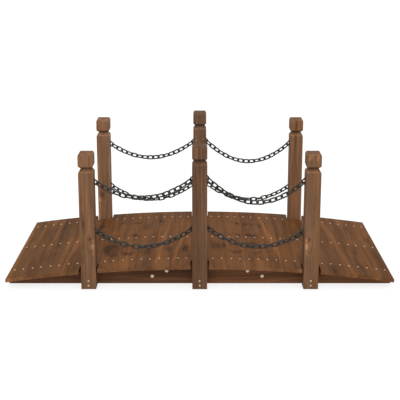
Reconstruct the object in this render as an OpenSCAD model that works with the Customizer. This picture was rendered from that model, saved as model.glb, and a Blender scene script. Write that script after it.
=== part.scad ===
// Arched garden footbridge: cross planks on three curved beams, six square
// posts standing in notches of the deck, and two hanging chains in each bay.
// Origin: on the ground under the middle of the bridge. +X along the walkway,
// +Y towards the back railing, +Z up. Millimetres.

/* [Deck] */
// Length of the deck from tip to tip
deck_len = 1500; // [1400:5:1600]
// Width of the deck, flush with the outer faces of the posts
deck_w = 661; // [600:1:760]
// Thickness of each deck plank
plank_t = 15; // [12:0.5:20]
// Gap between neighbouring planks
plank_gap = 0.5; // [0.4:0.1:2]
// Width of the bevel along the outer edge of the first and last plank
tip_bevel = 4; // [1:0.5:8]

/* [Beams] */
// Height of the beams at the crown of the arch
crown_h = 81; // [76:1:95]
// Height of the beams at the tips of the bridge
tip_h = 27.5; // [22:0.5:34]
// Thickness of each beam
beam_t = 40; // [32:1:48]
// Length of the boards that splice the two halves of each beam
splice_len = 520; // [480:5:560]
// Height of the splice boards
splice_h = 52; // [40:1:56]
// Thickness of the splice boards
splice_t = 22; // [16:1:28]
// Distance of the splice boards' middle from the middle of the bridge
splice_x = 28.5; // [0:0.5:40]

/* [Posts] */
// Side of the square posts
post_w = 57.5; // [50:0.5:60]
// Height of the four end posts
end_post_h = 540; // [520:1:600]
// Height of the two middle posts
mid_post_h = 570; // [540:1:640]
// Distance from the top of a post down to the bottom of its groove
cap_h = 60; // [50:0.5:75]
// Depth of the groove round the post
groove_d = 11.5; // [5:0.5:14]
// Height of the groove's upper slope at the faces of the post
groove_up = 10; // [6:0.5:16]
// Height of the groove's lower slope at the faces of the post
groove_down = 15; // [8:0.5:20]
// Chamfer round the top of the post, measured inwards
top_chamfer = 4.5; // [3:0.5:12]
// Chamfer round the top of the post, measured downwards
top_chamfer_h = 8.5; // [3:0.5:12]

/* [Chains] */
// Diameter of the chain's wire
wire_d = 5.8; // [5:0.1:5.9]
// Outer width of a chain link
link_w = 22.4; // [21:0.1:22.6]
// Distance from one link to the next
link_pitch = 24.1; // [24:0.1:25]
// Height of the left bay's upper pins in the end posts
left_upper_end_z = 432; // [415:0.5:440]
// Height of the left bay's upper pins in the middle posts
left_upper_mid_z = 445.5; // [430:0.5:460]
// Height of the left bay's lower pins in the end posts
left_lower_end_z = 236; // [215:0.5:260]
// Height of the left bay's lower pins in the middle posts
left_lower_mid_z = 249; // [225:0.5:270]
// Height of the right bay's upper pins in the end posts
right_upper_end_z = 437; // [415:0.5:440]
// Height of the right bay's upper pins in the middle posts
right_upper_mid_z = 452; // [430:0.5:460]
// Height of the right bay's lower pins in the end posts
right_lower_end_z = 231.5; // [215:0.5:260]
// Height of the right bay's lower pins in the middle posts
right_lower_mid_z = 253.5; // [225:0.5:270]

/* [Hidden] */

planks = 21;
// planks whose ends stop at the beams, so that a post can stand in the notch
short_planks = [5, 11, 17];

// circle of the beams' top edge, through the crown and both tips
rise = crown_h - tip_h;
arch_r = (pow(deck_len / 2, 2) + rise * rise) / (2 * rise);
arch_z = crown_h - arch_r;
step_deg = 2 * asin(deck_len / 2 / arch_r) / planks;
plank_w = 2 * arch_r * tan(step_deg / 2) - plank_gap;
// half of a hair's play where pieces meet face to face
play = 0.05;

// posts stand on the outer faces of the outer beams, in line with planks 5, 11 and 17 and a hair towards the middle
post_x = arch_r * sin(6 * step_deg) - 0.7;
post_y = deck_w / 2 - post_w / 2;
beam_y = deck_w / 2 - post_w - beam_t / 2;
short_len = deck_w - 2 * post_w - 2;

// pins that hold the chains, measured in from the side face of the post
mid_pin_in = 14.7;
end_pin_in = 9;
slot_w = 17;

// chain links: the end bends' centre-line radius and half the straight length
bend_r = (link_w - wire_d) / 2;
link_in = link_pitch + 0.4;
straight = (link_in + wire_d) / 2 - bend_r;

wood = [0.42, 0.29, 0.2];
wood_dark = [0.33, 0.22, 0.15];
wood_post = [0.47, 0.34, 0.24];
steel = [0.17, 0.17, 0.16];

// ---- hanging curve of a chain, as functions of its span, rise and sag ----
function bend_len(u) = (u * sqrt(1 + u * u) + ln(u + sqrt(1 + u * u))) / 2;
// length of the curve from its first end to x
function run(x, d, h, s) =
  d * d / (8 * s) * (bend_len(h / d - 4 * s / d + 8 * s * x / (d * d)) - bend_len(h / d - 4 * s / d));
function drop(x, d, h, s) = h * x / d - 4 * s * x * (d - x) / (d * d);
// sag at which the curve has the chain's length
function sag_for(len, d, h, lo = 1, hi = 220, k = 40) =
  k == 0 ? (lo + hi) / 2
  : run(d, d, h, (lo + hi) / 2) > len ? sag_for(len, d, h, lo, (lo + hi) / 2, k - 1)
  : sag_for(len, d, h, (lo + hi) / 2, hi, k - 1);
// place along the span at which the curve has run a given length
function place(len, d, h, s, lo, hi, k = 40) =
  k == 0 ? (lo + hi) / 2
  : run((lo + hi) / 2, d, h, s) > len ? place(len, d, h, s, lo, (lo + hi) / 2, k - 1)
  : place(len, d, h, s, (lo + hi) / 2, hi, k - 1);
// how far each link leans out of the upright plane, counted from the left; neighbours lean opposite ways
upper_lean = [20, 48, 32, 37, 50, 32, 54, 44, 34, 36, 36, 52, 40, 36, 37, 50, 46, 48, 20];
// the lower chains hang with more of a twist, so some of their links lie nearly flat
lower_lean = [20, 44, 46, 34, 78, 35, 78, 35, 58, 54, 38, 76, 38, 54, 50, 46, 46, 20];
function roll_at(k, n, side, s, lean) =
  k == 0 || k == n - 1 ? side * (s > 0 ? -20 : 36) : side * (14 - s * lean[k]);
function roll(i, n, side, turn, lean) =
  let (k = side < 0 ? i : n - 1 - i) roll_at(k, n, side, turn * (k % 2 == 0 ? 1 : -1), lean);

// ---- pieces ----
module plank(i) {
  long = len(search(i, short_planks)) == 0 ? deck_w : short_len;
  color(wood)
    translate([0, 0, arch_z]) rotate([0, (i - (planks + 1) / 2) * step_deg, 0])
      translate([0, 0, arch_r + play]) difference() {
        translate([-plank_w / 2, -long / 2, 0]) cube([plank_w, long, plank_t]);
        if (i == 1 || i == planks)
          mirror([i == 1 ? 1 : 0, 0, 0]) rotate([90, 0, 0])
            linear_extrude(height = long + 2, center = true)
              polygon([[plank_w / 2 - tip_bevel - 1, plank_t + 1], [plank_w / 2 + 1, plank_t + 1],
                       [plank_w / 2 + 1, plank_t - tip_bevel - 1]]);
      }
}

module beam(side, y) {
  color(wood_dark)
    intersection() {
      translate([side < 0 ? -deck_len / 2 + 1 : play, y - beam_t / 2, 0])
        cube([deck_len / 2 - 1 - play, beam_t, crown_h + 1]);
      translate([0, y - beam_t, arch_z]) rotate([-90, 0, 0]) cylinder(r = arch_r, h = 2 * beam_t, $fn = 1440);
    }
}

// the board lies on the inner face of its beam, clear of the ground and of the planks
module splice(y) {
  color(wood_dark)
    translate([splice_x - splice_len / 2, y, 8]) cube([splice_len, splice_t, splice_h]);
}

// one round-ended slot for the end link of a chain, cut in from the side face at +X
module slot(z, pin_in) {
  translate([post_w / 2 - pin_in - 9, 0, z]) rotate([90, 0, 90]) linear_extrude(height = pin_in + 10)
    hull() for (h = [2, -20]) translate([0, h]) circle(d = slot_w, $fn = 32);
}

module post(h, x, y, left_z, right_z, pin_in) {
  color(wood_post)
    translate([x, y, 0]) difference() {
      translate([-post_w / 2, -post_w / 2, 0]) cube([post_w, post_w, h]);
      for (k = [0 : 3]) rotate([0, 0, 90 * k]) {
        rotate([90, 0, 0]) linear_extrude(height = post_w + 2, center = true)
          polygon([[post_w / 2 - groove_d, h - cap_h],
                   [post_w / 2 + 1, h - cap_h - groove_down * (1 + 1 / groove_d)],
                   [post_w / 2 + 1, h - cap_h + groove_up * (1 + 1 / groove_d)]]);
        rotate([90, 0, 0]) linear_extrude(height = post_w + 2, center = true)
          polygon([[post_w / 2 - top_chamfer * (1 + 1 / top_chamfer_h), h + 1],
                   [post_w / 2 + 1, h - top_chamfer_h * (1 + 1 / top_chamfer)],
                   [post_w / 2 + 1, h + 1]]);
      }
      for (z = left_z) mirror([1, 0, 0]) slot(z, pin_in);
      for (z = right_z) slot(z, pin_in);
    }
}

// oval link of round wire, lying in the XY plane along X
module link() {
  for (s = [-1, 1]) {
    translate([s * straight, 0, 0]) rotate([0, 0, -90 * s])
      rotate_extrude(angle = 180, $fn = 48) translate([bend_r, 0]) circle(d = wire_d, $fn = 24);
    translate([-straight, s * bend_r, 0]) rotate([0, 90, 0]) cylinder(d = wire_d, h = 2 * straight, $fn = 24);
  }
}

// chain of n links from a pin in an end post to a pin in a middle post; side is -1 left, 1 right
module chain(side, y, end_z, mid_z, n, turn, lean) {
  x0 = post_x - post_w / 2 + end_pin_in;
  x1 = post_w / 2 - mid_pin_in;
  d = x0 - x1;
  h = mid_z - end_z;
  s = sag_for(n * link_pitch, d, h);
  pts = [for (i = [0 : n]) let (x = i == 0 ? 0 : i == n ? d : place(i * link_pitch, d, h, s, 0, d))
           [side * (x0 - x), end_z + drop(x, d, h, s)]];
  color(steel)
    for (i = [0 : n - 1]) {
      v = pts[i + 1] - pts[i];
      m = (pts[i + 1] + pts[i]) / 2;
      translate([m[0], y, m[1]]) rotate([0, -atan2(v[1], v[0]), 0]) rotate([90 + roll(i, n, side, turn, lean), 0, 0]) link();
    }
}

left_ends_z = [left_upper_end_z, left_lower_end_z];
left_mids_z = [left_upper_mid_z, left_lower_mid_z];
right_ends_z = [right_upper_end_z, right_lower_end_z];
right_mids_z = [right_upper_mid_z, right_lower_mid_z];

plank(1);  // plank_01
plank(2);  // plank_02
plank(3);  // plank_03
plank(4);  // plank_04
plank(5);  // plank_05
plank(6);  // plank_06
plank(7);  // plank_07
plank(8);  // plank_08
plank(9);  // plank_09
plank(10);  // plank_10
plank(11);  // plank_11
plank(12);  // plank_12
plank(13);  // plank_13
plank(14);  // plank_14
plank(15);  // plank_15
plank(16);  // plank_16
plank(17);  // plank_17
plank(18);  // plank_18
plank(19);  // plank_19
plank(20);  // plank_20
plank(21);  // plank_21

beam(-1, -beam_y);  // beam_front_left
beam(1, -beam_y);  // beam_front_right
beam(-1, 0);  // beam_middle_left
beam(1, 0);  // beam_middle_right
beam(-1, beam_y);  // beam_back_left
beam(1, beam_y);  // beam_back_right

splice(-beam_y + beam_t / 2);  // splice_front
splice(beam_t / 2);  // splice_middle
splice(beam_y - beam_t / 2 - splice_t);  // splice_back

post(end_post_h, -post_x, -post_y, [], left_ends_z, end_pin_in);  // post_front_left
post(mid_post_h, 0, -post_y, left_mids_z, right_mids_z, mid_pin_in);  // post_front_middle
post(end_post_h, post_x, -post_y, right_ends_z, [], end_pin_in);  // post_front_right
post(end_post_h, -post_x, post_y, [], left_ends_z, end_pin_in);  // post_back_left
post(mid_post_h, 0, post_y, left_mids_z, right_mids_z, mid_pin_in);  // post_back_middle
post(end_post_h, post_x, post_y, right_ends_z, [], end_pin_in);  // post_back_right

chain(-1, -post_y, left_upper_end_z, left_upper_mid_z, 18, 1, upper_lean);  // chain_front_left_upper
chain(-1, -post_y, left_lower_end_z, left_lower_mid_z, 18, 1, lower_lean);  // chain_front_left_lower
chain(1, -post_y, right_upper_end_z, right_upper_mid_z, 19, -1, upper_lean);  // chain_front_right_upper
chain(1, -post_y, right_lower_end_z, right_lower_mid_z, 18, 1, lower_lean);  // chain_front_right_lower
chain(-1, post_y, left_upper_end_z, left_upper_mid_z, 18, -1, upper_lean);  // chain_back_left_upper
chain(-1, post_y, left_lower_end_z, left_lower_mid_z, 18, -1, lower_lean);  // chain_back_left_lower
chain(1, post_y, right_upper_end_z, right_upper_mid_z, 19, 1, upper_lean);  // chain_back_right_upper
chain(1, post_y, right_lower_end_z, right_lower_mid_z, 18, -1, lower_lean);  // chain_back_right_lower
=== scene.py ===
"""Looks of the wooden garden bridge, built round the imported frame. Metres, same frame as the CAD."""
import math
import random

import bmesh
import bpy
from mathutils import Matrix, Vector


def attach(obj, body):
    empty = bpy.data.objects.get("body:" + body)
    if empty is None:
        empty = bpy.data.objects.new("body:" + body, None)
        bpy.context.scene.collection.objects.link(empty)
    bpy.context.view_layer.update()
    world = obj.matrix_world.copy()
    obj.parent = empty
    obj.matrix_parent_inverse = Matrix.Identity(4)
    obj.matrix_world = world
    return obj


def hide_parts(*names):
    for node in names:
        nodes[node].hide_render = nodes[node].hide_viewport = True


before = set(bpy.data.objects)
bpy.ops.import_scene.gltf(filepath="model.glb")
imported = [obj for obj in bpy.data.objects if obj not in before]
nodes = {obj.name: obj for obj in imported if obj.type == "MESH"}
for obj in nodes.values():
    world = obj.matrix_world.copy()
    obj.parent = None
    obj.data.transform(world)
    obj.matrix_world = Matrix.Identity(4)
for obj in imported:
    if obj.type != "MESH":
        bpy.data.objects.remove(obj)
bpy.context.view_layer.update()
scene = bpy.context.scene

MM = 0.001

# ---------------------------------------------------------------- sizes that the looks share with the construction
DECK_LEN, DECK_W, PLANK_T = 1.5, 0.661, 0.015
CROWN, TIP = 0.081, 0.0275
BEAM_T, POST_W = 0.040, 0.0575
SPLICE_T = 0.022
RISE = CROWN - TIP
ARCH_R = ((DECK_LEN / 2) ** 2 + RISE ** 2) / (2 * RISE)
ARCH_Z = CROWN - ARCH_R
STEP = 2 * math.asin(DECK_LEN / 2 / ARCH_R) / 21
POST_X = ARCH_R * math.sin(6 * STEP) - 0.0007
POST_Y = DECK_W / 2 - POST_W / 2
BEAM_Y = DECK_W / 2 - POST_W - BEAM_T / 2
SHORT = (5, 11, 17)
WIRE, LINK_W, PITCH = 0.0058, 0.0224, 0.0241
BEND_R = (LINK_W - WIRE) / 2
STRAIGHT = (PITCH + 0.0004 + WIRE) / 2 - BEND_R
MID_PIN_IN, END_PIN_IN = 0.0147, 0.009
PIN_Z = {("left", "upper"): (0.432, 0.4455), ("right", "upper"): (0.437, 0.452), ("left", "lower"): (0.236, 0.249), ("right", "lower"): (0.2315, 0.2535)}
# how far each link is rolled out of the upright plane, counted from the left; neighbours lean opposite ways
LEAN = {"upper": (20, 48, 32, 37, 50, 32, 54, 44, 34, 36, 36, 52, 40, 36, 37, 50, 46, 48, 20),
        "lower": (20, 44, 46, 34, 78, 35, 78, 35, 58, 54, 38, 76, 38, 54, 50, 46, 46, 20)}


# ---------------------------------------------------------------- camera, light, floor
def camera():
    data = bpy.data.cameras.new("camera")
    cam = bpy.data.objects.new("camera", data)
    scene.collection.objects.link(cam)
    data.sensor_width = 36.0
    data.lens = 866.256 / 400 * 36.0
    data.shift_y = -0.2
    data.clip_end = 100
    cam.location = (0.0011, -3.4622, 1.3564)
    cam.rotation_euler = (math.radians(90 - 12.36), 0, 0)
    scene.camera = cam


def area(name, place, aim, size, power, colour=(1, 1, 1)):
    data = bpy.data.lights.new(name, "AREA")
    data.shape = "RECTANGLE"
    data.size, data.size_y = size
    data.energy = power
    data.color = colour
    ob = bpy.data.objects.new(name, data)
    ob.location = place
    ob.rotation_euler = (Vector(aim) - Vector(place)).to_track_quat("-Z", "Y").to_euler()
    scene.collection.objects.link(ob)


def lights():
    world = bpy.data.worlds.new("studio")
    scene.world = world
    world.use_nodes = True
    bg = world.node_tree.nodes["Background"]
    bg.inputs["Color"].default_value = (1.0, 1.0, 1.0, 1)
    bg.inputs["Strength"].default_value = 1.1
    area("key", (-1.6, -3.2, 3.6), (0, 0, 0.2), (2.4, 2.4), 55, (1.0, 0.985, 0.96))
    area("fill", (2.6, -2.6, 2.4), (0, 0, 0.2), (2.0, 2.0), 14)
    area("top", (0.3, 0.6, 4.0), (0, 0, 0), (2.6, 2.6), 20)
    scene.view_settings.view_transform = "Standard"
    scene.view_settings.look = "None"
    scene.view_settings.exposure = 0.0
    scene.view_settings.gamma = 1.0


# ---------------------------------------------------------------- node building
def lin(r, g, b):
    f = lambda c: c / 12.92 if c <= 0.04045 else ((c + 0.055) / 1.055) ** 2.4
    return tuple(f(c / 255) for c in (r, g, b))


class Tree:
    """Small helper that builds a shader from sockets."""

    def __init__(self, name):
        self.mat = bpy.data.materials.new(name)
        self.mat.use_nodes = True
        self.t = self.mat.node_tree
        self.t.nodes.clear()
        self.out = self.t.nodes.new("ShaderNodeOutputMaterial")
        self.bsdf = self.t.nodes.new("ShaderNodeBsdfPrincipled")
        self.t.links.new(self.bsdf.outputs[0], self.out.inputs[0])

    def put(self, node, key, value):
        s = node.inputs[key]
        if isinstance(value, bpy.types.NodeSocket):
            self.t.links.new(value, s)
        else:
            s.default_value = value

    def attr(self, name):
        n = self.t.nodes.new("ShaderNodeAttribute")
        n.attribute_name = name
        return n

    def math(self, op, a, b=0.0, c=0.0, clamp=False):
        n = self.t.nodes.new("ShaderNodeMath")
        n.operation, n.use_clamp = op, clamp
        self.put(n, 0, a), self.put(n, 1, b), self.put(n, 2, c)
        return n.outputs[0]

    def vec(self, op, a, b=(0, 0, 0)):
        n = self.t.nodes.new("ShaderNodeVectorMath")
        n.operation = op
        self.put(n, 0, a), self.put(n, 1, b)
        return n.outputs[1] if op in ("LENGTH", "DOT_PRODUCT") else n.outputs[0]

    def xyz(self, v):
        n = self.t.nodes.new("ShaderNodeSeparateXYZ")
        self.put(n, 0, v)
        return n.outputs

    def join(self, x, y, z):
        n = self.t.nodes.new("ShaderNodeCombineXYZ")
        self.put(n, 0, x), self.put(n, 1, y), self.put(n, 2, z)
        return n.outputs[0]

    def noise(self, v, detail=2.0, rough=0.5, colour=False):
        n = self.t.nodes.new("ShaderNodeTexNoise")
        self.put(n, "Vector", v)
        n.inputs["Scale"].default_value = 1.0
        n.inputs["Detail"].default_value = detail
        n.inputs["Roughness"].default_value = rough
        return n.outputs[1] if colour else n.outputs[0]

    def stretch(self, v, scale, seed):
        return self.vec("ADD", self.vec("MULTIPLY", v, scale), seed)

    def smooth(self, v, lo, hi, a=0.0, b=1.0):
        n = self.t.nodes.new("ShaderNodeMapRange")
        n.interpolation_type = "SMOOTHSTEP"
        self.put(n, 0, v)
        for i, x in enumerate((lo, hi, a, b)):
            n.inputs[i + 1].default_value = x
        return n.outputs[0]

    def ramp(self, v, stops):
        n = self.t.nodes.new("ShaderNodeValToRGB")
        n.color_ramp.interpolation = "EASE"
        e = n.color_ramp.elements
        while len(e) < len(stops):
            e.new(0.5)
        for el, (p, c) in zip(e, stops):
            el.position, el.color = p, (*c, 1)
        self.put(n, 0, v)
        return n.outputs[0]

    def mix(self, f, a, b, how="MIX"):
        n = self.t.nodes.new("ShaderNodeMix")
        n.data_type, n.blend_type, n.clamp_factor = "RGBA", how, True
        for key, value in ((0, f), (6, a), (7, b)):
            s = n.inputs[key]
            if isinstance(value, bpy.types.NodeSocket):
                self.t.links.new(value, s)
            else:
                s.default_value = value if key == 0 else (*value, 1)
        return n.outputs[2]

    def bump(self, height, strength, distance):
        n = self.t.nodes.new("ShaderNodeBump")
        n.inputs["Strength"].default_value = strength
        n.inputs["Distance"].default_value = distance
        self.put(n, "Height", height)
        self.t.links.new(n.outputs[0], self.bsdf.inputs["Normal"])


# stained softwood with a walnut tone: u across the board, v along the grain, w through its thickness, in metres
DARK, MID, WARM, PALE = lin(56, 38, 27), lin(98, 68, 47), lin(116, 81, 56), lin(144, 102, 71)
SAP, GREY, INK, KNOT, FRESH = lin(160, 109, 75), lin(102, 79, 66), lin(40, 26, 19), lin(100, 60, 37), lin(200, 146, 102)


def wood(name, seed, tone=(1, 1, 1), pith=(0.01, -0.07), spacing=0.008, knots=(), flames=(), saps=(), bands=(), contrast=1.0, wide=1.0, lines=1.0, shift=0.0, grey=0.25, edge=0.3, shade_across=None, ends=(1.0, 1.0, 1.0), fine=105, pales=(), side=None):
    """One board's finish. knots are (u, v, radius, reach), pales like saps, flames (u, v, half width, half length,
    curl, strength), saps (u, v, half width, half length, lean, strength),
    bands (v0, v1, gain): the tone goes from 1 at v0 to gain at v1 and past it, some of them painted light and some
    painted shade; the painted shade across the board (u0, u1, gain0, gain1) does so across it;
    side is how far from the middle the figure ends, so that it stays off the side faces."""
    t = Tree(name)
    rng = random.Random(seed)
    off = lambda: tuple(rng.uniform(-40, 40) for _ in range(3))
    p = t.attr("grain").outputs["Vector"]
    u, v, w = t.xyz(p)
    bell = lambda d: t.math("POWER", 2.718, t.math("MULTIPLY", d, -1.0))
    square = lambda x: t.math("MULTIPLY", x, x)
    inside = t.smooth(t.math("ABSOLUTE", u), side - 0.0011, side + 0.0011, 1.0, 0.0) if side else None
    keep = lambda g: t.math("MULTIPLY", g, inside) if side else g

    # the grain wanders along the board and bends round its knots
    drift = t.vec("SUBTRACT", t.noise(t.stretch(p, (8, 1.7, 8), off()), 1.0, 0.4, colour=True), (0.5, 0.5, 0.5))
    q = t.vec("ADD", p, t.vec("MULTIPLY", drift, (0.034, 0.05, 0.034)))
    eye = None
    for ku, kv, kr, reach in knots:
        d = t.vec("MULTIPLY", t.vec("SUBTRACT", p, (ku, kv, 0)), (1 / kr, 0.5 / kr, 0))
        far = t.vec("MULTIPLY", d, (0.30 / reach, 0.26 / reach, 0))
        push = t.math("MULTIPLY", t.math("MULTIPLY", t.math("TANH", t.math("DIVIDE", t.xyz(d)[0], reach)), bell(t.vec("DOT_PRODUCT", far, far))), -1.7 * kr * reach)
        q = t.vec("ADD", q, t.join(push, 0.0, 0.0))
        g = bell(t.vec("DOT_PRODUCT", d, d))
        eye = g if eye is None else t.math("MAXIMUM", eye, g)
    qu, qv, qw = t.xyz(q)

    # year rings round the pith
    ring = t.vec("LENGTH", t.join(t.math("SUBTRACT", qu, pith[0]), 0.0, t.math("SUBTRACT", qw, pith[1])))
    phase = t.math("ADD", t.math("DIVIDE", ring, spacing),
                   t.math("MULTIPLY", t.noise(t.stretch(p, (22, 1.3, 22), off()), 1.5, 0.5), 2.2))
    if eye is not None:
        phase = t.math("ADD", phase, t.math("MULTIPLY", eye, 2.4))
    saw = t.math("FRACT", phase)
    late = t.math("SUBTRACT", t.smooth(saw, 0.35, 0.9), t.smooth(saw, 0.94, 1.0))

    broad = t.noise(t.stretch(q, (30, 1.3, 30), off()), 2.0, 0.5)
    streak = t.noise(t.stretch(q, (fine, 3.0, fine), off()), 2.5, 0.6)
    fibre = t.noise(t.stretch(p, (620, 17, 620), off()), 2.0, 0.6)
    pore = t.smooth(t.noise(t.stretch(p, (1500, 42, 1500), off()), 1.0, 0.5), 0.60, 0.74)
    patch = t.noise(t.stretch(p, (14, 3.4, 14), off()), 2.0, 0.5)

    tonal = t.math("ADD", t.math("MULTIPLY", t.math("SUBTRACT", broad, 0.5), 0.95 * contrast * wide), 0.52 + shift)
    tonal = t.math("ADD", tonal, t.math("MULTIPLY", t.math("SUBTRACT", streak, 0.5), 0.50 * contrast * lines))
    tonal = t.math("ADD", tonal, t.math("MULTIPLY", t.math("SUBTRACT", patch, 0.5), 0.70 * contrast))
    tonal = t.math("ADD", tonal, t.math("MULTIPLY", t.math("SUBTRACT", fibre, 0.5), 0.26))
    tonal = t.math("SUBTRACT", tonal, t.math("MULTIPLY", late, 0.13 * contrast * min(lines, 1.1)))
    red = t.smooth(t.noise(t.stretch(q, (40, 1.0, 40), off()), 2.0, 0.5), 0.56, 0.76, 0.0, 0.45)
    # curled figure: soft dark smudges bent across the board, with redder wood round them
    if flames:
        cloud = t.noise(t.stretch(q, (28, 13, 28), off()), 1.4, 0.5)
        mottle = t.smooth(cloud, 0.30, 0.68, 0.62, 1.0)
        sway = t.math("MULTIPLY", t.math("SUBTRACT", t.noise(t.stretch(q, (34, 9, 34), off()), 1.0, 0.5), 0.5), 0.030)
    for fu, fv, hw, hl, curl, strength in flames:
        a = t.math("DIVIDE", t.math("SUBTRACT", qu, fu), hw)
        bent = t.math("ADD", t.math("SUBTRACT", t.math("ADD", v, sway), fv), t.math("MULTIPLY", square(a), -curl))
        far = t.math("ADD", square(a), square(t.math("DIVIDE", bent, hl)))
        tonal = t.math("SUBTRACT", tonal, t.math("MULTIPLY", t.math("MULTIPLY", keep(bell(far)), mottle), strength))
        red = t.math("MAXIMUM", red, t.math("MULTIPLY", keep(bell(t.math("MULTIPLY", far, 0.25))), t.smooth(cloud, 0.30, 0.62, 0.50, 0.10)))
    if eye is not None:
        tonal = t.math("SUBTRACT", tonal, t.math("MULTIPLY", square(eye), 0.22))
    colour = t.ramp(tonal, [(0.0, DARK), (0.38, MID), (0.62, WARM), (1.0, PALE)])

    # reddish sapwood streaks and greyer ones
    for su, sv, hw, hl, lean, strength in saps:
        du = t.math("DIVIDE", t.math("SUBTRACT", t.math("SUBTRACT", qu, su), t.math("MULTIPLY", t.math("SUBTRACT", v, sv), lean)), hw)
        dv = t.math("DIVIDE", t.math("SUBTRACT", v, sv), hl)
        g = keep(bell(t.math("ADD", square(du), square(dv))))
        red = t.math("MAXIMUM", red, t.math("MULTIPLY", g, t.smooth(streak, 0.25, 0.62, 0.45 * strength, strength)))
    colour = t.mix(t.smooth(t.noise(t.stretch(q, (36, 0.9, 36), off()), 2.0, 0.5), 0.52, 0.74, 0.0, grey), colour, GREY)
    colour = t.mix(red, colour, t.mix(0.58, colour, SAP))
    if eye is not None:
        colour = t.mix(t.smooth(eye, 0.18, 0.75, 0.0, 0.55), colour, KNOT)
        colour = t.mix(t.smooth(eye, 0.72, 0.98, 0.0, 0.50), colour, DARK)
    for su, sv, hw, hl, lean, strength in pales:
        du = t.math("DIVIDE", t.math("SUBTRACT", t.math("SUBTRACT", u, su), t.math("MULTIPLY", t.math("SUBTRACT", v, sv), lean)), hw)
        dv = t.math("DIVIDE", t.math("SUBTRACT", v, sv), hl)
        g = keep(t.smooth(bell(t.math("ADD", square(du), square(dv))), 0.15, 0.80))
        colour = t.mix(t.math("MULTIPLY", g, t.smooth(streak, 0.30, 0.62, 0.35 * strength, strength)), colour, FRESH)
    # pores hold dark stain, ends drink more of it; the dark in the posts' grooves is painted shade, the dark on the
    # arrises is stain with painted shade, and rubbed spots on the arrises show paler
    colour = t.mix(t.math("MULTIPLY", pore, 0.34), colour, DARK)
    end = t.attr("endgrain").outputs["Fac"]
    colour = t.mix(t.math("MULTIPLY", end, 0.10), colour, DARK)
    colour = t.mix(end, colour, t.mix(1.0, colour, ends, "MULTIPLY"))
    # painted shade in the posts' grooves, reaching up under the caps
    colour = t.mix(t.math("MULTIPLY", t.attr("groove_shade").outputs["Fac"], 0.62), colour, INK)
    arris = t.attr("arris").outputs["Fac"]
    # dark arrises: stain, with painted shade on the posts' inner corners and the deck's back edge
    colour = t.mix(t.math("MULTIPLY", arris, edge), colour, INK)
    colour = t.mix(t.math("MULTIPLY", arris, t.smooth(t.noise(t.stretch(p, (90, 60, 90), off()), 2.0, 0.6), 0.55, 0.70, 0.0, 0.35)), colour, PALE)
    for v0, v1, gain in bands:
        colour = t.mix(1.0, colour, t.smooth(v, v0, v1, 1.0, gain), "MULTIPLY")
    # painted shade across the board
    if shade_across:
        colour = t.mix(1.0, colour, t.smooth(u, *shade_across), "MULTIPLY")
    colour = t.mix(1.0, colour, tone, "MULTIPLY")
    t.put(t.bsdf, "Base Color", colour)
    t.put(t.bsdf, "Roughness", t.math("ADD", t.math("MULTIPLY", fibre, 0.22), t.math("ADD", 0.50, t.math("MULTIPLY", pore, 0.12))))
    t.bsdf.inputs["Specular IOR Level"].default_value = 0.04
    height = t.math("ADD", t.math("MULTIPLY", fibre, 0.55), t.math("MULTIPLY", late, 0.35))
    height = t.math("SUBTRACT", height, t.math("MULTIPLY", pore, 0.6))
    t.bump(height, 0.5, 0.00035)
    return t.mat


def steel_dark():
    t = Tree("chain_steel")
    tc = t.t.nodes.new("ShaderNodeTexCoord").outputs["Object"]
    cloud = t.noise(t.stretch(tc, (160, 160, 160), (3, 7, 1)), 3.0, 0.6)
    grain = t.noise(t.stretch(tc, (1400, 1400, 1400), (9, 2, 5)), 2.0, 0.6)
    colour = t.ramp(cloud, [(0.25, lin(36, 34, 30)), (0.55, lin(54, 52, 46)), (0.85, lin(80, 77, 69))])
    colour = t.mix(t.smooth(grain, 0.55, 0.75, 0.0, 0.30), colour, lin(96, 93, 84))
    t.put(t.bsdf, "Base Color", colour)
    t.bsdf.inputs["Metallic"].default_value = 0.45
    t.bsdf.inputs["Specular IOR Level"].default_value = 0.35
    t.put(t.bsdf, "Roughness", t.math("ADD", 0.40, t.math("MULTIPLY", cloud, 0.25)))
    t.bump(t.math("ADD", cloud, t.math("MULTIPLY", grain, 0.5)), 0.25, 0.0003)
    return t.mat


def zinc(name, low, high, worn):
    t = Tree(name)
    tc = t.t.nodes.new("ShaderNodeTexCoord").outputs["Object"]
    cloud = t.noise(t.stretch(tc, (420, 420, 420), (1, 4, 8)), 3.0, 0.6)
    scratch = t.noise(t.stretch(tc, (2600, 700, 1500), (6, 2, 3)), 2.0, 0.5)
    colour = t.ramp(cloud, [(0.3, low), (0.7, high)])
    colour = t.mix(t.smooth(scratch, 0.6, 0.8, 0.0, worn), colour, lin(120, 100, 78))
    t.put(t.bsdf, "Base Color", colour)
    t.bsdf.inputs["Metallic"].default_value = 0.35
    t.put(t.bsdf, "Roughness", t.math("ADD", 0.34, t.math("MULTIPLY", cloud, 0.22)))
    t.bump(t.math("ADD", cloud, scratch), 0.15, 0.0002)
    return t.mat


def floor():
    me = bpy.data.meshes.new("floor")
    s, z = 40.0, -0.0006
    me.from_pydata([(-s, -s, z), (s, -s, z), (s, s, z), (-s, s, z)], [], [(0, 1, 2, 3)])
    ob = bpy.data.objects.new("floor", me)
    scene.collection.objects.link(ob)
    t = Tree("floor")
    tc = t.t.nodes.new("ShaderNodeTexCoord").outputs["Object"]
    n = t.noise(t.stretch(tc, (1.3, 1.3, 1.3), (2, 2, 2)), 3.0, 0.6)
    t.put(t.bsdf, "Base Color", t.ramp(n, [(0.3, (0.22, 0.22, 0.2185)), (0.7, (0.24, 0.24, 0.2385))]))
    t.bsdf.inputs["Emission Color"].default_value = (1.0, 1.0, 1.0, 1)
    t.bsdf.inputs["Emission Strength"].default_value = 0.80
    t.bsdf.inputs["Roughness"].default_value = 0.85
    t.bsdf.inputs["Specular IOR Level"].default_value = 0.1
    me.materials.append(t.mat)


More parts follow.
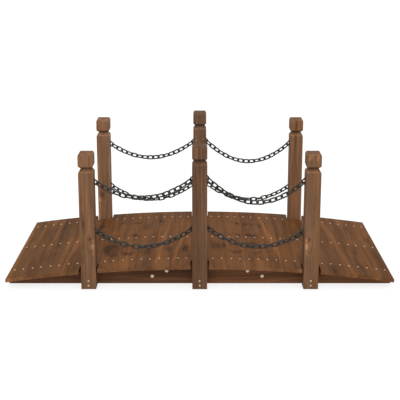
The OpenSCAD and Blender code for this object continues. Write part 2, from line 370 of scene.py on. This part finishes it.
# ---------------------------------------------------------------- wooden pieces
def piece(name, bm, mats, body="root"):
    me = bpy.data.meshes.new(name)
    bm.to_mesh(me)
    bm.free()
    for m in mats:
        me.materials.append(m)
    ob = bpy.data.objects.new(name, me)
    scene.collection.objects.link(ob)
    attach(ob, body)
    return ob


def board(node, local, mat, ease, segments=3, inset=0.0026, arris_stain_and_shade=lambda u, v, w: 1.0, groove_shade_of=lambda u, v, w: 0.0, square=0.6, cuts=(), swell=0.0):
    """A CAD board's own shape with eased arrises. local turns a point of the part into (u, v, w); the two functions
    that follow it say how dark an arris is there, stain with painted shade, and how much painted shade a groove gets
    there, square how nearly square to the grain an end is, cuts where along the grain the faces are divided, so that
    the colour can change there, and swell how far the long sides stand out."""
    src = nodes[node].data
    bm = bmesh.new()
    vs = [bm.verts.new(v.co) for v in src.vertices]
    for poly in src.polygons:
        try:
            bm.faces.new([vs[i] for i in poly.vertices])
        except ValueError:
            pass
    bmesh.ops.remove_doubles(bm, verts=bm.verts[:], dist=2e-6)
    bmesh.ops.dissolve_degenerate(bm, dist=1e-6, edges=bm.edges[:])
    bmesh.ops.recalc_face_normals(bm, faces=bm.faces[:])
    bmesh.ops.dissolve_limit(bm, angle_limit=math.radians(0.05), use_dissolve_boundaries=False, verts=bm.verts[:], edges=bm.edges[:])
    sharp = [e for e in bm.edges if len(e.link_faces) == 2 and e.calc_face_angle_signed(0) > math.radians(20)]
    made = bmesh.ops.bevel(bm, geom=sharp, offset=ease, offset_type="OFFSET", segments=segments, profile=0.5, affect="EDGES", clamp_overlap=True)
    rounded = set(made["faces"])
    flats = [f for f in bm.faces if f not in rounded]
    bmesh.ops.inset_region(bm, faces=flats, thickness=inset, use_even_offset=True, use_boundary=True)
    axis = [Vector(local(Vector((1, 0, 0)))) - Vector(local(Vector())), Vector(local(Vector((0, 1, 0)))) - Vector(local(Vector())),
            Vector(local(Vector((0, 0, 1)))) - Vector(local(Vector()))]
    along = Vector((axis[0][1], axis[1][1], axis[2][1]))
    mark = bm.faces.layers.int.new("rounded")
    for f in bm.faces:
        f[mark] = 1 if f in rounded else 0
    for c in cuts:
        bmesh.ops.bisect_plane(bm, geom=bm.verts[:] + bm.edges[:] + bm.faces[:], dist=1e-6, plane_co=along * c, plane_no=along)
    rounded = set(f for f in bm.faces if f[mark] == 1)
    bm.normal_update()
    grain = bm.verts.layers.float_vector.new("grain")
    arris = bm.verts.layers.float.new("arris")
    groove_shade = bm.verts.layers.float.new("groove_shade")
    endg = bm.verts.layers.float.new("endgrain")
    for vert in bm.verts:
        vert[grain] = local(vert.co)
        vert[arris] = arris_stain_and_shade(*vert[grain]) if any(f in rounded for f in vert.link_faces) else 0.0
        vert[groove_shade] = groove_shade_of(*vert[grain])
        vert[endg] = 1.0 if all(abs(f.normal.dot(along)) > square for f in vert.link_faces) else 0.0
    across = Vector((axis[0][0], axis[1][0], axis[2][0]))
    half = max(abs(vert[grain].x) for vert in bm.verts)
    for vert in bm.verts:
        if swell and abs(vert[grain].x) > half - 0.0006:
            vert.co += across * math.copysign(swell, vert[grain].x)
    for f in bm.faces:
        f.smooth = True
    bm.faces.layers.int.remove(mark)
    ob = piece(node + "_board", bm, [mat])
    ob.data.set_sharp_from_angle(angle=math.radians(38))
    wn = ob.modifiers.new("normals", "WEIGHTED_NORMAL")
    wn.keep_sharp = True
    wn.weight = 60
    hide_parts(node)
    return ob


def plank_frame(i):
    a = (i - 11) * STEP
    ux, nz = Vector((math.cos(a), 0, -math.sin(a))), Vector((math.sin(a), 0, math.cos(a)))
    return Vector((0, 0, ARCH_Z)) + nz * (ARCH_R + 0.00005), ux, nz


# figure, sapwood and tone of each plank, as the planks differ along the deck
PLANKS = {
    1: dict(tone=(0.86, 0.86, 0.79), saps=[(-0.027, 0, 0.008, 0.6, 0, 0.9)], flames=[(0.004, 0.10, 0.018, 0.05, 0.010, 0.25)]),
    2: dict(tone=(0.83, 0.84, 0.78), saps=[(0.018, 0.1, 0.006, 0.3, 0.05, 0.6)]),
    3: dict(tone=(0.81, 0.83, 0.80), flames=[(0.0, -0.12, 0.030, 0.06, 0.010, 0.20)]),
    4: dict(tone=(0.88, 0.88, 0.83), saps=[(-0.016, -0.1, 0.008, 0.35, 0.06, 0.9)]),
    5: dict(tone=(0.95, 0.94, 0.90), flames=[(0.006, 0.12, 0.030, 0.07, 0.010, 0.20)]),
    6: dict(tone=(1.00, 0.99, 0.97), flames=[(0.004, -0.135, 0.038, 0.052, 0.012, 1.05), (0.012, -0.192, 0.024, 0.016, 0.010, 0.45), (0.010, 0.200, 0.022, 0.016, 0.008, 0.60), (0.000, 0.040, 0.020, 0.020, 0.008, 0.30)], bands=[(-0.245, -0.285, 1.12)]),
    7: dict(tone=(1.00, 0.99, 0.97), flames=[(0.002, -0.130, 0.030, 0.042, 0.010, 0.60), (0.006, -0.184, 0.028, 0.015, 0.012, 0.70), (0.008, 0.030, 0.026, 0.018, -0.008, 0.70), (0.010, 0.186, 0.024, 0.016, -0.008, 0.60)], bands=[(-0.245, -0.285, 1.12)]),
    8: dict(tone=(0.92, 0.93, 0.95), flames=[(0.004, -0.150, 0.034, 0.060, 0.010, 0.42), (-0.012, 0.150, 0.016, 0.060, 0.0, 0.35)]),
    9: dict(tone=(1.01, 1.01, 1.01), saps=[(-0.006, -0.06, 0.007, 0.26, 0.10, 1.05)], pales=[(-0.022, -0.246, 0.0045, 0.040, 0.16, 0.26)], flames=[(0.012, -0.150, 0.022, 0.030, 0.010, 0.45), (-0.020, 0.200, 0.014, 0.050, 0.0, 0.35)], bands=[(-0.245, -0.285, 1.10)]),
    10: dict(tone=(1.01, 1.02, 1.02), saps=[(-0.004, -0.06, 0.007, 0.28, 0.12, 1.05)], pales=[(-0.026, -0.246, 0.0045, 0.040, 0.16, 0.26)], flames=[(0.018, -0.140, 0.020, 0.038, 0.008, 0.48), (0.010, 0.080, 0.018, 0.050, 0.0, 0.25)], bands=[(-0.245, -0.285, 1.10)]),
    11: dict(tone=(0.95, 0.95, 0.96)),
    12: dict(seed=212, tone=(0.96, 0.96, 0.96), contrast=0.6, lines=0.5, flames=[(0.004, -0.110, 0.060, 0.075, 0.006, 0.42)], bands=[(-0.250, -0.285, 1.08)]),
    13: dict(tone=(1.03, 1.02, 1.01), flames=[(0.002, 0.176, 0.028, 0.016, -0.010, 0.60), (0.002, 0.024, 0.028, 0.017, -0.010, 0.70), (0.000, -0.090, 0.032, 0.032, 0.010, 0.62), (0.000, -0.181, 0.030, 0.016, 0.014, 0.95)], bands=[(-0.245, -0.285, 1.12)]),
    14: dict(tone=(1.03, 1.02, 1.01), flames=[(0.004, 0.170, 0.028, 0.016, -0.010, 0.60), (0.000, 0.022, 0.028, 0.018, -0.010, 0.75), (0.006, -0.084, 0.030, 0.030, 0.010, 0.55), (0.004, -0.182, 0.030, 0.017, 0.014, 0.95), (0.028, -0.215, 0.010, 0.036, 0.0, 0.60)], bands=[(-0.245, -0.285, 1.12)]),
    15: dict(tone=(1.02, 1.01, 0.99), saps=[(0.006, 0.02, 0.011, 0.36, -0.12, 1.15)], pales=[(0.003, 0.08, 0.007, 0.16, -0.12, 0.10)], flames=[(-0.014, -0.170, 0.020, 0.020, 0.010, 0.60), (-0.020, 0.150, 0.012, 0.060, 0.0, 0.35)], bands=[(-0.245, -0.285, 1.08)]),
    16: dict(tone=(0.99, 0.98, 0.97)),
    17: dict(tone=(0.97, 0.96, 0.92)),
    18: dict(tone=(1.00, 0.98, 0.89), saps=[(0.010, 0.05, 0.009, 0.35, -0.10, 0.4)]),
    19: dict(tone=(1.01, 0.99, 0.89), saps=[(-0.002, 0, 0.012, 0.45, -0.09, 0.7)]),
    20: dict(tone=(0.98, 0.96, 0.87), flames=[(0.0, -0.08, 0.026, 0.07, 0.010, 0.15)]),
    21: dict(tone=(0.91, 0.89, 0.81), flames=[(0.004, 0.08, 0.026, 0.07, 0.010, 0.12)]),
}
DECK_TONE, POST_TONE, BEAM_TONE = (0.80, 0.692, 0.487), (0.84, 0.86, 0.88), (0.600, 0.553, 0.535)
# how light the sawn ends of the planks are
SAWN = {1: 1.7, 2: 1.34, 3: 1.22, 4: 1.2, 6: 1.0, 7: 0.98, 13: 1.02, 14: 1.12, 15: 1.17, 16: 1.2, 18: 1.26, 19: 1.2, 20: 1.05, 21: 1.2}


def times(a, b):
    return tuple(x * y for x, y in zip(a, b))


def plank_arris_stain_and_shade(i, u, v):
    """Dark on a plank's arrises, most at the free edges of the deck: stain, with painted shade making the back edge
    darkest.
    """
    if abs(v) > DECK_W / 2 - 0.003:
        return 0.9 if v > 0 else 0.35
    if abs(v) > DECK_W / 2 - POST_W - 0.003 and i in SHORT or i == 1 and u < -0.03 or i == 21 and u > 0.03:
        return 0.7
    return 0.0


def planks():
    rng = random.Random(11)
    for i in range(1, 22):
        base, ux, nz = plank_frame(i)
        local = lambda co, b=base, x=ux, n=nz: ((co - b).dot(x), co.y, (co - b).dot(n))
        look = dict(PLANKS[i])
        look["tone"] = times(look["tone"], DECK_TONE)
        # painted light on the short planks' ends by the posts, where the posts shade them, and painted shade along the
        # back end of the long planks
        look["bands"] = look.get("bands", []) + ([(0.215, 0.262, 1.22)] if i in SHORT else [(0.317, 0.329, 0.72)])
        mat = wood(f"plank_{i:02d}_wood", look.pop("seed", 100 + i), pith=(rng.uniform(-0.03, 0.03), rng.uniform(-0.09, -0.035)),
                   spacing=rng.uniform(0.006, 0.009), shift=rng.uniform(-0.02, 0.03), contrast=look.pop("contrast", 0.9 if 5 < i < 17 else 1.0), lines=look.pop("lines", 1.05), fine=115, edge=0.5, ends=times((1.0, 1.07, 1.36), (SAWN.get(i, 1.05),) * 3), **look)
        half = DECK_W / 2 - (POST_W + 0.001 if i in SHORT else 0)
        board(f"plank_{i:02d}", local, mat, 0.0003, inset=0.0014, arris_stain_and_shade=lambda u, v, w, i=i: plank_arris_stain_and_shade(i, u, v), cuts=(0.006 - half, half - 0.006), swell=0.0002 if 1 < i < 21 else 0.0)


def posts():
    inner = lambda s, z: dict(saps=[(s * 0.018, z - 0.012, 0.010, 0.036, 0, 0.9)], knots=[(s * 0.010, z + 0.014, 0.0055, 1.25)],
                              flames=[(s * 0.008, z - 0.008, 0.006, 0.026, 0.0, 0.40), (s * 0.016, z + 0.012, 0.010, 0.005, -0.005, 0.45), (s * 0.012, z - 0.040, 0.008, 0.006, 0.005, 0.25)],
                              pales=[(s * 0.0200, z - 0.015, 0.0062, 0.015, 0, 0.55), (s * 0.0215, z + 0.010, 0.0040, 0.007, 0, 0.40), (s * 0.020, z - 0.042, 0.004, 0.010, s * 0.2, 0.25)])
    looks = {
        "post_front_left": dict(tone=(0.93, 0.968, 1.00), contrast=0.66, grey=0.55, **inner(1, 0.189)),
        "post_front_middle": dict(tone=(0.775, 0.82, 0.905), grey=0.6),
        "post_front_right": dict(tone=(1.08, 1.10, 1.09), contrast=0.66, grey=0.55, **inner(-1, 0.189)),
        # the back end posts are made much lighter than the front ones, as painted light for the light they lack
        "post_back_left": dict(tone=(1.46, 1.53, 1.63), grey=0.5, **inner(-1, 0.186)),
        "post_back_middle": dict(tone=(0.86, 0.955, 1.12), grey=0.5),
        "post_back_right": dict(tone=(1.41, 1.42, 1.43), grey=0.3),
    }
    # arched figure up the left front post, a flamed cap on the right one
    looks["post_front_left"]["flames"] += [(-0.021, 0.330, 0.005, 0.040, 0.0, 0.45), (-0.012, 0.268, 0.005, 0.036, 0.0, 0.52), (-0.005, 0.222, 0.006, 0.024, 0.0, 0.48), (-0.013, 0.190, 0.009, 0.020, -0.012, 0.42), (-0.019, 0.110, 0.005, 0.025, 0.0, 0.35)]
    looks["post_front_left"]["saps"] += [(0.010, 0.40, 0.007, 0.14, 0.0, 0.45)]
    looks["post_front_right"]["flames"] += [(0.0025, 0.515, 0.0030, 0.030, 0.0, 0.45), (0.0095, 0.505, 0.0022, 0.020, 0.0, 0.35)]
    looks["post_front_right"]["pales"] += [(-0.012, 0.526, 0.0085, 0.014, 0.35, 0.28), (0.0150, 0.524, 0.0060, 0.016, 0.1, 0.18)]
    caps = {"post_front_left": 1.18, "post_front_middle": 1.09, "post_front_right": 1.04}
    rng = random.Random(23)
    for k, (node, look) in enumerate(looks.items()):
        cx = {"left": -POST_X, "middle": 0.0, "right": POST_X}[node.split("_")[2]]
        cy = -POST_Y if "front" in node else POST_Y
        inward = {"left": 1, "middle": 0, "right": -1}[node.split("_")[2]]
        # painted shade on the side face that looks towards the middle of the bridge
        if inward:
            look["shade_across"] = (0.0268, 0.0286, 1.0, 0.80) if inward > 0 else (-0.0286, -0.0268, 0.80, 1.0)
        neck = (0.570 if "middle" in node else 0.540) - 0.060
        local = lambda co, x=cx, y=cy: (co.x - x, co.z, co.y - y)
        look["tone"] = times(look["tone"], POST_TONE)
        # painted light on the groove's lower slope, which faces up, ended again at the neck; the other bands give the
        # caps and the posts' middles their own tone
        look["bands"] = [(neck - 0.016, neck - 0.0145, 1.3), (neck - 0.001, neck + 0.003, 0.769), (neck - 0.004, neck + 0.012, caps.get(node, 0.98)),
                         (0.26, 0.42, {"post_front_left": 1.18, "post_back_left": 0.96}.get(node, 1.0))]
        mat = wood(node + "_wood", 300 + k, pith=(rng.uniform(-0.03, 0.03), rng.uniform(0.03, 0.06)), spacing=rng.uniform(0.005, 0.007),
                   shift=0.08, contrast=look.pop("contrast", 0.8), wide=0.45, lines=3.2, fine=135, edge=0.70, ends=(0.80, 0.77, 0.74), side=0.0273, **look)
        ends = (0.0, neck - 0.015, neck + 0.010, neck + 0.0515)
        cuts = [ends[0] + 0.006, ends[1] - 0.006, ends[2] + 0.006, ends[3] - 0.006]
        board(node, local, mat, 0.0018, inset=0.0018, arris_stain_and_shade=lambda u, v, w, e=ends, n=inward: post_arris_stain_and_shade(u, v, w, e, n), groove_shade_of=lambda u, v, w, n=neck: groove_shade_at(v - n), square=0.9, cuts=cuts)


def post_arris_stain_and_shade(u, v, w, ends, inward):
    """Dark on a post's arrises, on the upright corners between their ends: stain, with painted shade making those
    towards the middle of the bridge darker.
    """
    upright = ends[0] + 0.005 < v < ends[1] - 0.005 or ends[2] + 0.005 < v < ends[3] - 0.005
    if not upright or abs(u) < 0.0255 or abs(w) < 0.0255:
        return 0.0
    return 1.0 if u * inward > 0 else 0.58


def groove_shade_at(h):
    """Painted shade round a post's groove, by height above its middle."""
    return max(0.0, 1 + h / 0.0032) if h < 0 else 1 - 0.45 * h / 0.0095 if h < 0.0095 else 0.0


def beams():
    rng = random.Random(37)
    for k, row in enumerate(("front", "middle", "back")):
        y = (-BEAM_Y, 0, BEAM_Y)[k]
        for side in ("left", "right"):
            local = lambda co, yy=y: (co.z, co.x, co.y - yy)
            tone = times(BEAM_TONE, (1, 1, 1) if side == "left" else (1.27, 1.225, 1.15))
            # painted shade under the deck's overhang, darker towards the top of the face, and painted light at the low
            # tips, where the overhang shades them most
            mat = wood(f"beam_{row}_{side}_wood", 500 + 2 * k + (side == "left"), tone=tone, pith=(rng.uniform(-0.05, 0.0), rng.uniform(0.05, 0.09)),
                       spacing=rng.uniform(0.007, 0.010), shift=-0.02, contrast=0.75, lines=1.5, shade_across=(0.010, 0.048, 1.14, 0.88), bands=[(-0.40, -0.56, 1.05), (0.40, 0.56, 1.05)])
            board(f"beam_{row}_{side}", local, mat, 0.0016)
        local = lambda co, yy=y: (co.z, co.x, co.y - yy)
        mat = wood(f"splice_{row}_wood", 560 + k, tone=times(BEAM_TONE, (1.08, 1.08, 1.08)), pith=(0.02, rng.uniform(0.06, 0.1)), spacing=0.007, contrast=0.8)
        board(f"splice_{row}", local, mat, 0.0014)


# ---------------------------------------------------------------- chains
def bend_len(u):
    return (u * math.sqrt(1 + u * u) + math.log(u + math.sqrt(1 + u * u))) / 2


def run(x, d, h, s):
    return d * d / (8 * s) * (bend_len(h / d - 4 * s / d + 8 * s * x / (d * d)) - bend_len(h / d - 4 * s / d))


def halve(f, lo, hi):
    for _ in range(50):
        m = (lo + hi) / 2
        lo, hi = (lo, m) if f(m) > 0 else (m, hi)
    return (lo + hi) / 2


def roll(i, n, side, turn, lean):
    k = i if side < 0 else n - 1 - i
    s = turn * (1 if k % 2 == 0 else -1)
    return side * (14 - s * lean[k]) if 0 < k < n - 1 else side * (-20 if s > 0 else 36)


def chain_points(side, end_z, mid_z, n):
    x0, x1 = POST_X - POST_W / 2 + END_PIN_IN, POST_W / 2 - MID_PIN_IN
    d, h = x0 - x1, mid_z - end_z
    s = halve(lambda s: run(d, d, h, s) - n * PITCH, 0.001, 0.22)
    xs = [0.0] + [halve(lambda x, i=i: run(x, d, h, s) - i * PITCH, 0, d) for i in range(1, n)] + [d]
    return [(side * (x0 - x), end_z + h * x / d - 4 * s * x * (d - x) / (d * d)) for x in xs]


def link_rings():
    """Centre points, directions and wire radii round one oval link in its own plane, with the butt weld on one side."""
    pts = []
    for k in range(12):
        a = math.radians(-90 + 180 * k / 12)
        pts.append((STRAIGHT + BEND_R * math.cos(a), BEND_R * math.sin(a), a + math.pi / 2, 1.0))
    for x, r in ((STRAIGHT, 1.0), (0.0022, 1.0), (0.0013, 1.11), (0.0005, 1.16), (-0.0005, 1.15), (-0.0013, 1.10), (-0.0022, 1.0)):
        pts.append((x, BEND_R, math.pi, r))
    for k in range(12):
        a = math.radians(90 + 180 * k / 12)
        pts.append((-STRAIGHT + BEND_R * math.cos(a), BEND_R * math.sin(a), a + math.pi / 2, 1.0))
    for x in (-STRAIGHT, 0.0):
        pts.append((x, -BEND_R, 0.0, 1.0))
    return pts


CHAINS = [("front", "left", "upper", 18, 1), ("front", "left", "lower", 18, 1), ("front", "right", "upper", 19, -1), ("front", "right", "lower", 18, 1),
          ("back", "left", "upper", 18, -1), ("back", "left", "lower", 18, -1), ("back", "right", "upper", 19, 1), ("back", "right", "lower", 18, -1)]
PINS = []


def chains():
    mat = steel_dark()
    rings, sides = link_rings(), 12
    for row, bay, level, n, turn in CHAINS:
        side, y = (-1 if bay == "left" else 1), (-POST_Y if row == "front" else POST_Y)
        ez, mz = PIN_Z[bay, level]
        pts = chain_points(side, ez, mz, n)
        bm = bmesh.new()
        for i in range(n):
            a, b = Vector((pts[i][0], 0, pts[i][1])), Vector((pts[i + 1][0], 0, pts[i + 1][1]))
            v = b - a
            m = (a + b) / 2
            place = (Matrix.Translation((m.x, y, m.z)) @ Matrix.Rotation(-math.atan2(v.z, v.x), 4, "Y")
                     @ Matrix.Rotation(math.radians(90 + roll(i, n, side, turn, LEAN[level])), 4, "X"))
            if i % 3 == 1:
                place = place @ Matrix.Rotation(math.pi, 4, "Z")
            loops = []
            for x, yy, head, r in rings:
                out = Vector((math.sin(head), -math.cos(head), 0))
                loops.append([bm.verts.new(place @ (Vector((x, yy, 0)) + (out * math.cos(2 * math.pi * k / sides) + Vector((0, 0, 1)) * math.sin(2 * math.pi * k / sides)) * (WIRE / 2 * r)))
                              for k in range(sides)])
            for j in range(len(loops)):
                p, q = loops[j], loops[(j + 1) % len(loops)]
                for k in range(sides):
                    f = bm.faces.new((p[k], q[k], q[(k + 1) % sides], p[(k + 1) % sides]))
                    f.smooth = True
            if i in (0, n - 1):
                at, to = (a, b) if i == 0 else (b, a)
                PINS.append((at + (to - at).normalized() * 0.0016, row))
        bmesh.ops.recalc_face_normals(bm, faces=bm.faces[:])
        ob = piece(f"chain_{row}_{bay}_{level}_links", bm, [mat])
        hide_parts(f"chain_{row}_{bay}_{level}")


# ---------------------------------------------------------------- fasteners
def lathe(bm, place, profile, segs=20, hexed=()):
    """Turns (radius, height) points in millimetres about the local Z axis; rows in hexed get six flats."""
    loops = []
    for j, (r, h) in enumerate(profile):
        if r == 0:
            loops.append([bm.verts.new(place @ Vector((0, 0, h * MM)))])
            continue
        ring = []
        for k in range(segs):
            a = 2 * math.pi * k / segs
            rr = r * math.cos(math.pi / 6) / math.cos((a % (math.pi / 3)) - math.pi / 6) if j in hexed else r
            ring.append(bm.verts.new(place @ Vector((rr * math.cos(a) * MM, rr * math.sin(a) * MM, h * MM))))
        loops.append(ring)
    for p, q in zip(loops, loops[1:]):
        for k in range(segs):
            k2 = (k + 1) % segs
            quad = [p[k % len(p)], p[k2 % len(p)], q[k2 % len(q)], q[k % len(q)]]
            seen = []
            for x in quad:
                if x not in seen:
                    seen.append(x)
            if len(seen) > 2:
                f = bm.faces.new(seen)
                f.smooth = True


def face_to(point, normal, turn=0.0):
    return Matrix.Translation(point) @ Vector(normal).to_track_quat("Z", "Y").to_matrix().to_4x4() @ Matrix.Rotation(turn, 4, "Z")


NAIL = [(0, 0.95), (1.2, 0.91), (2.2, 0.76), (2.9, 0.46), (3.2, 0.08), (3.25, -0.4), (1.7, -0.5), (1.7, -2.5), (0, -2.6)]
DOME = [(0, 4.6), (1.7, 4.45), (3.45, 4.0), (5.0, 3.1), (6.2, 2.0), (6.95, 0.95), (7.2, 0.25), (7.2, -0.5), (4.0, -0.6), (4.0, -4), (0, -4.2)]
SCREW = [(0, -0.9), (1.5, -0.9), (1.6, 0.95), (2.0, 1.25), (2.7, 1.1), (3.2, 0.65), (3.5, 0.1), (3.5, -0.5), (1.8, -0.6), (1.8, -4), (0, -4.2)]
WASHER = [(4.3, 0.0), (4.3, 1.6), (9.6, 1.6), (10.2, 1.1), (10.2, 0.0), (4.3, 0.0)]
NUT = [(4.0, 1.6), (6.9, 1.7), (7.5, 2.2), (7.5, 7.4), (6.9, 8.0), (4.4, 8.0), (4.1, 7.4), (4.0, 7.2), (4.0, 12.6), (3.4, 13.2), (0, 13.2)]
PIN = [(0, 0.8), (1.0, 0.76), (1.8, 0.6), (2.3, 0.32), (2.5, 0.02), (2.55, -0.4), (1.75, -0.5), (1.75, -40.0), (0, -41.5)]


def fasteners():
    rng = random.Random(5)
    bright, pale = zinc("nail_zinc", lin(190, 164, 136), lin(226, 206, 180), 0.2), zinc("bolt_zinc", lin(182, 170, 137), lin(218, 208, 178), 0.3)
    dull = zinc("pin_zinc", lin(128, 104, 82), lin(168, 142, 116), 0.4)
    for row, y in (("front", -BEAM_Y + 0.0045), ("middle", 0.001), ("back", BEAM_Y + 0.0075)):
        bm = bmesh.new()
        for i in range(1, 22):
            if i in SHORT and row != "middle":
                continue
            base, ux, nz = plank_frame(i)
            inward = 0.0028 * ((i < 11) - (i > 11))
            for s in (-1, 1):
                at = base + ux * (inward + s * 0.0172 + rng.uniform(-0.0008, 0.0008)) + nz * PLANK_T + Vector((0, y + rng.uniform(-0.0022, 0.0022), 0))
                tilt = (nz + Vector((rng.uniform(-1, 1), rng.uniform(-1, 1), 0)) * 0.02).normalized()
                lathe(bm, face_to(at, tilt, rng.uniform(0, 6.28)), NAIL, 16)
        bmesh.ops.recalc_face_normals(bm, faces=bm.faces[:])
        piece(f"nails_{row}", bm, [bright])

    spots = ((-0.1862, 0.0312), (-0.1295, 0.0532), (0.187, 0.0530), (0.2447, 0.0312))
    for row, head_y, nut_y, out in (("front", -BEAM_Y - BEAM_T / 2, -BEAM_Y + BEAM_T / 2 + SPLICE_T, -1), ("middle", -BEAM_T / 2, BEAM_T / 2 + SPLICE_T, -1),
                                    ("back", BEAM_Y + BEAM_T / 2, BEAM_Y - BEAM_T / 2 - SPLICE_T, 1)):
        bm = bmesh.new()
        for x, z in spots:
            lathe(bm, face_to((x, head_y, z), (0, out, 0)), DOME, 28)
            back = face_to((x, nut_y, z), (0, -out, 0), rng.uniform(0, 1))
            lathe(bm, back, WASHER, 28)
            lathe(bm, back, NUT, 24, hexed=(1, 2, 3, 4))
        bmesh.ops.recalc_face_normals(bm, faces=bm.faces[:])
        ob = piece(f"bolts_{row}", bm, [pale])
        ob.data.set_sharp_from_angle(angle=math.radians(35))

    for row, y, out in (("front", -DECK_W / 2, -1), ("back", DECK_W / 2, 1)):
        bm = bmesh.new()
        for x in (-POST_X, 0.0, POST_X):
            for z in (0.034, 0.015):
                lathe(bm, face_to((x + rng.uniform(-0.0006, 0.0006), y, z), (0, out, 0), rng.uniform(0, 1)), SCREW, 24, hexed=(1, 2))
        bmesh.ops.recalc_face_normals(bm, faces=bm.faces[:])
        ob = piece(f"post_screws_{row}", bm, [pale])
        ob.data.set_sharp_from_angle(angle=math.radians(40))

    for row in ("front", "back"):
        bm = bmesh.new()
        y, out = (-DECK_W / 2 + POST_W, 1) if row == "front" else (DECK_W / 2 - POST_W, -1)
        for at, r in PINS:
            if r == row:
                lathe(bm, face_to((at.x, y, at.z), (0, out, 0), rng.uniform(0, 6)), PIN, 16)
        bmesh.ops.recalc_face_normals(bm, faces=bm.faces[:])
        piece(f"chain_pins_{row}", bm, [dull])


camera()
lights()
floor()
planks()
posts()
beams()
chains()
fasteners()
